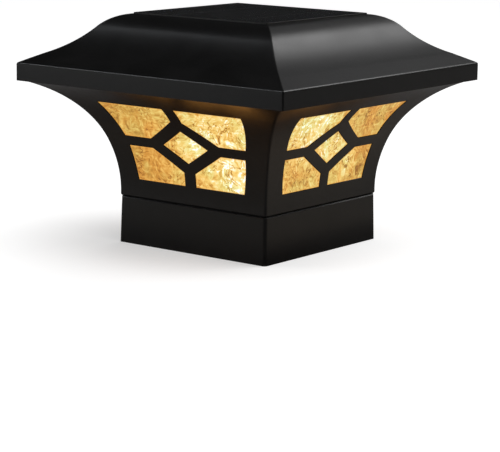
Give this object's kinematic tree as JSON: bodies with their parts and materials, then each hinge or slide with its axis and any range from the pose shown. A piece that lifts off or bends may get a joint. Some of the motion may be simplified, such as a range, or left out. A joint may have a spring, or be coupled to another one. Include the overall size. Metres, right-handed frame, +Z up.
{
  "type": "deck post cap light",
  "caption": "Square solar lantern that caps a deck post: collar, flared body with amber lead-light panes, and an ogee roof with a solar panel",
  "frame": {"origin": "centre of the collar's open bottom edge", "axes": "+Z up along the post, +X and -Y square to the two sides that the picture shows"},
  "size_m": [0.1744, 0.1744, 0.1221],
  "materials": {
    "black_housing": "satin moulded plastic with a fine grain",
    "amber_pane": "rippled amber sheet",
    "white_plastic": "matt white",
    "frosted_globe": "frosted",
    "solar_cell": "dark blue-black crystal under a clear coat",
    "clear_cover": "clear, glossy",
    "panel_board": "dark laminate",
    "green_board": "green solder mask",
    "chip_black": "matt",
    "steel": "zinc-plated",
    "contact_metal": "nickel-plated spring sheet",
    "solder_ribbon": "tinned",
    "gasket_foam": "closed foam",
    "battery_sleeve": "plain printed-free sleeve",
    "copper": "enamelled wire",
    "led_yellow": "phosphor",
    "wire_red": "insulation",
    "wire_black": "insulation"
  },
  "bodies": {
    "lantern": {"base_collar": "black_housing", "base_screws": "steel", "lantern_base": "black_housing", "lantern_right": "black_housing", "lantern_back": "black_housing", "lantern_left": "black_housing", "lantern_front": "black_housing", "pane_right": "amber_pane", "pane_back": "amber_pane", "pane_left": "amber_pane", "pane_front": "amber_pane", "pane_retainer": "black_housing", "floor_reflector": "white_plastic"},
    "roof": {"roof_cover": "black_housing", "panel_gasket": "gasket_foam", "panel_backsheet": "panel_board", "solar_cells": "solar_cell", "cell_busbars": "solder_ribbon", "panel_cover": "clear_cover", "battery_tub": "white_plastic", "tub_screws": "steel", "battery": "battery_sleeve", "contact_plus": "contact_metal", "contact_minus": "contact_metal", "door_pin": "steel", "circuit_board": "green_board", "charge_chip": "chip_black", "choke": "copper", "board_parts": "chip_black", "switch_body": "steel", "led_stem": "white_plastic", "stem_nut": "white_plastic", "led_board": "white_plastic", "leds": "led_yellow", "led_globe": "frosted_globe", "ceiling_reflector": "white_plastic", "ceiling_screws": "steel", "panel_lead_red": "wire_red", "panel_lead_black": "wire_black", "led_wire_red": "wire_red", "led_wire_black": "wire_black"},
    "battery_door": {"battery_door": "white_plastic"},
    "switch_slider": {"switch_slider": "chip_black"}
  },
  "joints": [
    {"name": "roof_lift", "type": "slide", "parent": "lantern", "child": "roof", "axis": [0, 0, 1], "range_m": [0, 0.08]},
    {"name": "battery_door_hinge", "type": "hinge", "parent": "roof", "child": "battery_door", "pos_m": [0, 0.0262, 0.0861], "axis": [1, 0, 0], "range_deg": [0, 100]},
    {"name": "switch_slide", "type": "slide", "parent": "roof", "child": "switch_slider", "axis": [1, 0, 0], "range_m": [-0.002, 0.002]}
  ]
}
